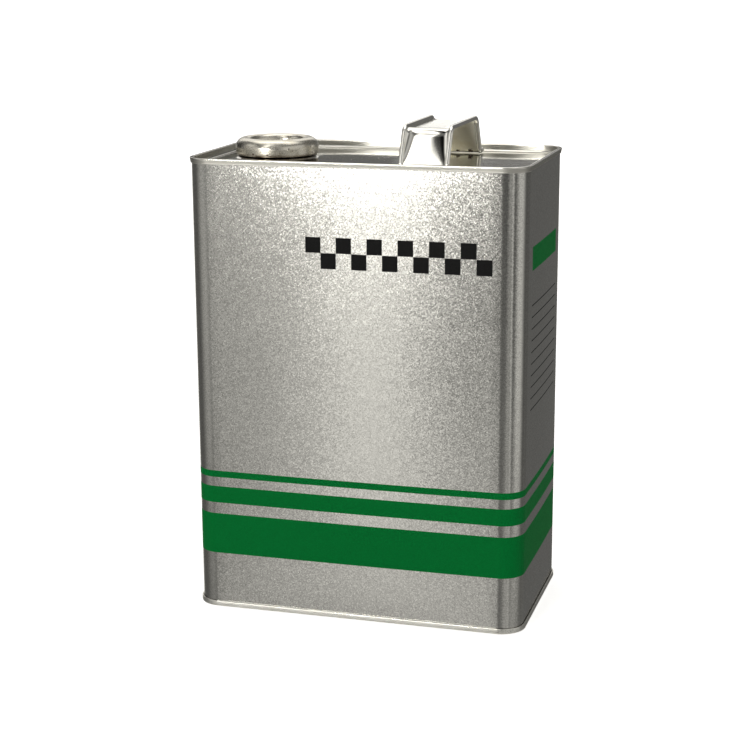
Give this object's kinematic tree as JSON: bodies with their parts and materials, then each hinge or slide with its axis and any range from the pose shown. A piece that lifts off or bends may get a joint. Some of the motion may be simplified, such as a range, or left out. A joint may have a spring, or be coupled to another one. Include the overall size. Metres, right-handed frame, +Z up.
{
  "type": "motor oil can",
  "caption": "Rectangular tinplate motor oil can with double-seamed ends, a fixed strap handle and a screw-capped pull-up pouring spout under a crimped ring.",
  "frame": {"origin": "centre of the bottom rim's footprint, on the surface that the can stands on", "axes": "+Z up, the wide front faces -Y, the width runs along X with the mouth towards -X and the handle towards +X"},
  "size_m": [0.178, 0.105, 0.2568],
  "materials": {
    "coated_tinplate": "silver metallic coating with a fine sparkle, printed in green and dark grey",
    "bright_tinplate": "bright, bare tinplate",
    "handle_tinplate": "bright, bare tinplate, pressed",
    "ring_tinplate": "bright tinplate with a few rust specks",
    "sealing_compound": "matt",
    "spout_plastic": "natural polyethylene",
    "cap_plastic": "silver-grey moulded",
    "liner_foam": "foamed polyethylene"
  },
  "bodies": {
    "can": {"body_shell": "coated_tinplate", "top_end": "bright_tinplate", "bottom_end": "bright_tinplate", "top_seam_compound": "sealing_compound", "bottom_seam_compound": "sealing_compound", "carry_handle": "handle_tinplate", "crimp_ring": "ring_tinplate", "spout_diaphragm": "spout_plastic"},
    "spout": {"pour_nozzle": "spout_plastic"},
    "liner": {"cap_liner": "liner_foam"},
    "cap": {"spout_cap": "cap_plastic"},
    "front_tab": {"pull_tab_front": "cap_plastic"},
    "back_tab": {"pull_tab_back": "cap_plastic"}
  },
  "joints": [
    {"name": "spout_pull", "type": "slide", "parent": "can", "child": "spout", "axis": [0, 0, 1], "range_m": [0, 0.029], "deforming": ["spout_diaphragm"]},
    {"name": "cap_lift", "type": "slide", "parent": "spout", "child": "liner", "axis": [0, 0, 1], "range_m": [0, 0.012]},
    {"name": "cap_turn", "type": "hinge", "parent": "liner", "child": "cap", "pos_m": [-0.056, 0, 0.2395], "axis": [0, 0, 1], "range_deg": [0, 1080]},
    {"name": "front_tab_hinge", "type": "hinge", "parent": "cap", "child": "front_tab", "pos_m": [-0.056, -0.0015, 0.2422], "axis": [-1, 0, 0], "range_deg": [0, 90]},
    {"name": "back_tab_hinge", "type": "hinge", "parent": "cap", "child": "back_tab", "pos_m": [-0.056, 0.0015, 0.2422], "axis": [1, 0, 0], "range_deg": [0, 90]}
  ],
  "couplings": [
    {"joint": "cap_lift", "follows": "cap_turn", "m_per_rad": 0.00063662}
  ]
}
